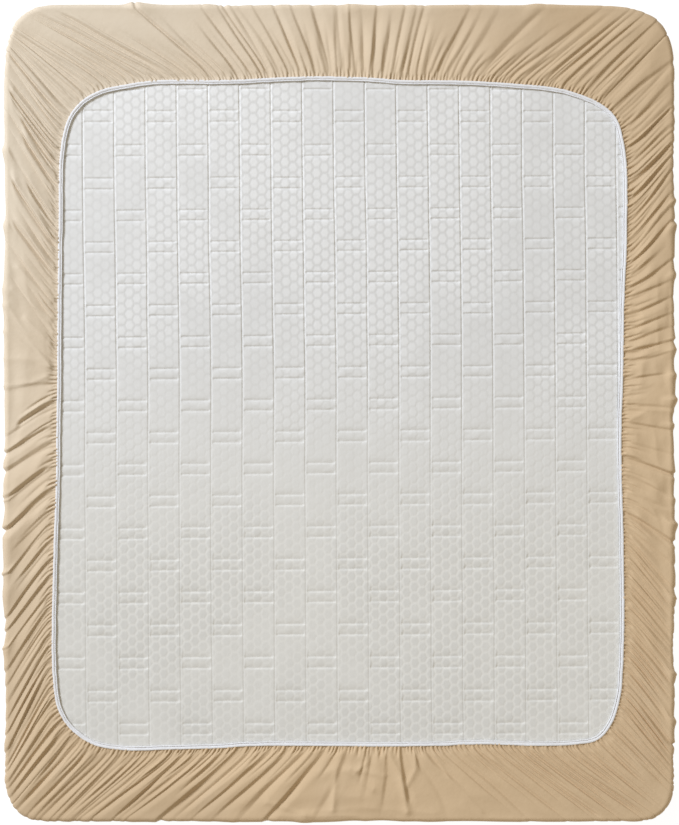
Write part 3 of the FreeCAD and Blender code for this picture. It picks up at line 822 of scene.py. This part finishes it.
TAN = (0.589, 0.440, 0.279)
TAN_SHEEN_PAINTED = (0.650, 0.564, 0.448)    # painted sheen and light: paler and greyer towards the head's left
HEXAGON_ROWS = 26.4                 # between the jacquard's rows


def cloth_material():
    n = Nodes("sheet_cotton")
    x, y, _ = n.parts()
    # painted sheen and light: towards the head's left the tan is mixed into a paler, greyer tan, where the
    # lamp's light and sheen fall
    painted_sheen = n.ramp(n.math("ADD", n.math("MULTIPLY", x, -0.75), n.math("MULTIPLY", y, 0.55)), -0.10, 1.0)
    uneven = n.math("MULTIPLY", n.math("SUBTRACT", n.noise(7.0, 4.0), 0.5), 0.3)
    color = n.mix(n.math("ADD", n.math("MULTIPLY", painted_sheen, 0.95), uneven, clamp=True), TAN, TAN_SHEEN_PAINTED)
    deep = n.ramp(n.math("MULTIPLY", x, y), 0.02, 0.50)     # a little darker at two opposite corners
    color = n.scale(color, n.math("SUBTRACT", 1.0, n.math("MULTIPLY", deep, 0.10)))
    weave = n.noise(1400.0, 2.0, 0.6, n.stretch(1.0, 0.35, 1.0))
    creases = n.noise(42.0, 4.0, 0.6)
    return n.finish(color, 0.9, [(creases, 0.0022, 0.55), (weave, 0.0002, 0.35)],
                    sheen=0.12, sheen_tint=(1.0, 0.95, 0.88), specular=0.2)


def ticking_material():
    n = Nodes("jacquard_ticking")
    x, y, _ = n.parts()
    half = 3 ** 0.5 / 2
    loose = n.noise(34.0, 2.0)
    upright = n.math("ADD", n.math("ADD", x, n.math("MULTIPLY", y, SKEW)), n.math("MULTIPLY", loose, 0.006))
    u = n.math("MULTIPLY", n.math("SUBTRACT", upright, COLUMN_START * MM), half / (PITCH / 4 * MM))
    v = n.math("MULTIPLY", y, 1 / (HEXAGON_ROWS * MM))

    def hexagon(du, dv):
        """Squared distance to the nearest centre in half of the lattice, and distance to its cell's walls."""
        a = n.math("SUBTRACT", n.math("FLOORED_MODULO", n.math("ADD", u, du), 2 * half), half)
        b = n.math("SUBTRACT", n.math("FLOORED_MODULO", n.math("ADD", v, dv), 1.0), 0.5)
        square = n.math("ADD", n.math("MULTIPLY", a, a), n.math("MULTIPLY", b, b))
        a, b = n.math("ABSOLUTE", a), n.math("ABSOLUTE", b)
        slant = n.math("ADD", n.math("MULTIPLY", a, half), n.math("MULTIPLY", b, 0.5))
        return square, n.math("SUBTRACT", 0.5, n.math("MAXIMUM", slant, b))

    near, wall = hexagon(0.0, 0.0)
    near2, wall2 = hexagon(half, 0.5)
    first = n.math("LESS_THAN", near, near2)
    second = n.math("SUBTRACT", 1.0, first)
    wall = n.math("ADD", n.math("MULTIPLY", first, wall), n.math("MULTIPLY", second, wall2))
    cell = n.ramp(wall, -0.01, 0.25)
    patchy = n.ramp(n.noise(3.2, 3.0), 0.36, 0.6)
    cell = n.math("MULTIPLY", cell, n.math("ADD", 0.40, n.math("MULTIPLY", patchy, 0.60)))
    # painted sheen and shade: the satin hexagons are painted brighter than the ground at the head end and
    # duller at the foot, where their sheen fades, and all is warmer there
    painted_sheen_shade = n.ramp(y, 0.30, -0.45)
    ground = n.mix(painted_sheen_shade, (0.640, 0.640, 0.632), (0.700, 0.691, 0.656))
    satin = n.mix(painted_sheen_shade, (0.735, 0.736, 0.732), (0.635, 0.629, 0.600))
    color = n.mix(cell, ground, satin)
    # painted light and shade: brightest at the head's left and dullest at the foot's left, where the lamp's
    # light falls off
    painted_light = n.ramp(n.math("ADD", n.math("MULTIPLY", x, -0.6), y), 0.3, 1.3)
    painted_shade = n.ramp(n.math("ADD", n.math("MULTIPLY", x, -0.6), n.math("MULTIPLY", y, -1.0)), 0.2, 1.3)
    color = n.scale(color, n.math("ADD", 1.0, n.math("MULTIPLY", n.math("SUBTRACT", painted_light, painted_shade), 0.06)))
    knit = n.noise(900.0, 2.0, 0.6, n.stretch(1.0, 0.5, 1.0))
    crumple = n.noise(60.0, 3.0, 0.55)
    return n.finish(color, 0.75, [(crumple, 0.0016, 0.35), (cell, 0.0006, 0.6), (knit, 0.0002, 0.3)],
                    sheen=0.08, specular=0.15)


def simple_material(name, color, roughness, scale, depth, **more):
    """Slightly uneven color with a fine relief of that scale and depth."""
    n = Nodes(name)
    shade = tuple(0.86 * v for v in color)
    tone = n.mix(n.noise(scale * 0.3, 3.0), shade, color)
    return n.finish(tone, roughness, [(n.noise(scale, 3.0), depth, 0.5)], **more)


cotton = cloth_material()
ticking = ticking_material()
tape = simple_material("binding_cotton", (0.80, 0.805, 0.83), 0.85, 700.0, 0.0005, sheen=0.1, specular=0.25)
rib = simple_material("woven_tape", (0.62, 0.61, 0.58), 0.85, 500.0, 0.0006)
white_knit = simple_material("elastic_knit", (0.78, 0.78, 0.79), 0.8, 600.0, 0.0005)
fibre = simple_material("wadding_fibre", (0.84, 0.84, 0.83), 0.95, 260.0, 0.0012)
bonded = simple_material("bonded_fibre", (0.80, 0.80, 0.79), 0.9, 800.0, 0.0003)
foam = simple_material("open_cell_foam", (0.80, 0.72, 0.47), 0.95, 500.0, 0.0010)
felt = simple_material("needled_felt", (0.27, 0.27, 0.28), 0.98, 380.0, 0.0012)
wire = simple_material("drawn_wire", (0.42, 0.42, 0.43), 0.35, 900.0, 0.0001, metallic=1.0)
plastic = simple_material("moulded_plastic", (0.66, 0.66, 0.65), 0.45, 1200.0, 0.0001)
webbing = simple_material("woven_webbing", (0.58, 0.57, 0.54), 0.85, 420.0, 0.0007)

BY_SLOT = {
    "sheet_cloth": cotton, "hem_binding": tape, "hem_elastic": white_knit, "quilt_ticking": ticking,
    "border_ticking": ticking, "edge_tape": rib, "polyester_wadding": fibre, "nonwoven_backing": bonded,
    "comfort_foam": foam, "cotton_felt": felt, "pocket_fabric": bonded, "spring_steel": wire,
    "vent_plastic": plastic, "handle_webbing": webbing,
}
for row in frame["record"]["subparts"]:
    node = row["node"]
    piece = soft.get(node, frame["nodes"][node])
    dress(piece, BY_SLOT[row["material_slot"]])
dress(sheet, cotton)
dress(binding, tape)
dress(elastic, white_knit)
dress(quilt, ticking)


# ---- floor, light and camera ----------------------------------------------------------------------------

floor_mesh = bpy.data.meshes.new("floor")
FAR = 60                            # metres from the middle to the floor's sides
floor_mesh.from_pydata([(-FAR, -FAR, 0), (FAR, -FAR, 0), (FAR, FAR, 0), (-FAR, FAR, 0)], [], [(0, 1, 2, 3)])
floor = bpy.data.objects.new("floor", floor_mesh)
bpy.context.scene.collection.objects.link(floor)
paper = bpy.data.materials.new("white_paper")
paper.use_nodes = True
paper_shader = paper.node_tree.nodes["Principled BSDF"]
paper_shader.inputs["Base Color"].default_value = (0.15, 0.15, 0.15, 1)
paper_shader.inputs["Roughness"].default_value = 1.0
paper_shader.inputs["Specular IOR Level"].default_value = 0.0
paper_shader.inputs["Emission Color"].default_value = (1, 1, 1, 1)
paper_shader.inputs["Emission Strength"].default_value = 0.93
dress(floor, paper)
floor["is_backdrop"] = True

scene = bpy.context.scene
scene.view_settings.view_transform = "Standard"
scene.view_settings.look = "None"
world = bpy.data.worlds.new("studio")
world.use_nodes = True
world.node_tree.nodes["Background"].inputs["Color"].default_value = (1.0, 0.875, 0.66, 1)
world.node_tree.nodes["Background"].inputs["Strength"].default_value = 0.385
scene.world = world


def lamp(name, place, size, watts, color):
    """A square area lamp that points at the middle of the mattress."""
    data = bpy.data.lights.new(name, "AREA")
    data.shape = "RECTANGLE"
    data.size, data.size_y = size, size
    data.energy = watts
    data.color = color
    obj = bpy.data.objects.new(name, data)
    obj.location = place
    obj.rotation_euler = (Vector((0, 0, 0.2)) - Vector(place)).to_track_quat("-Z", "Y").to_euler()
    scene.collection.objects.link(obj)
    obj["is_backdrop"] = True


lamp("window", place=(-8.9, 6.5, 8.4), size=4.0, watts=1900, color=(0.94, 1.01, 1.135))
lamp("bounce", place=(3.5, -4.5, 6.5), size=4.0, watts=60, color=(1.0, 0.96, 0.90))

camera_data = bpy.data.cameras.new("camera")
camera = bpy.data.objects.new("camera", camera_data)
scene.collection.objects.link(camera)
camera_data.lens = 150
camera_data.sensor_width = 36
COVERS = 2.0023                     # metres of the underside's level across the picture's long side
camera.location = (0.0, 0.0, QUILT_TOP * MM + COVERS * camera_data.lens / camera_data.sensor_width)
camera.rotation_euler = (0, 0, 0)
camera_data.clip_end = 200
scene.camera = camera

low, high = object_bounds()
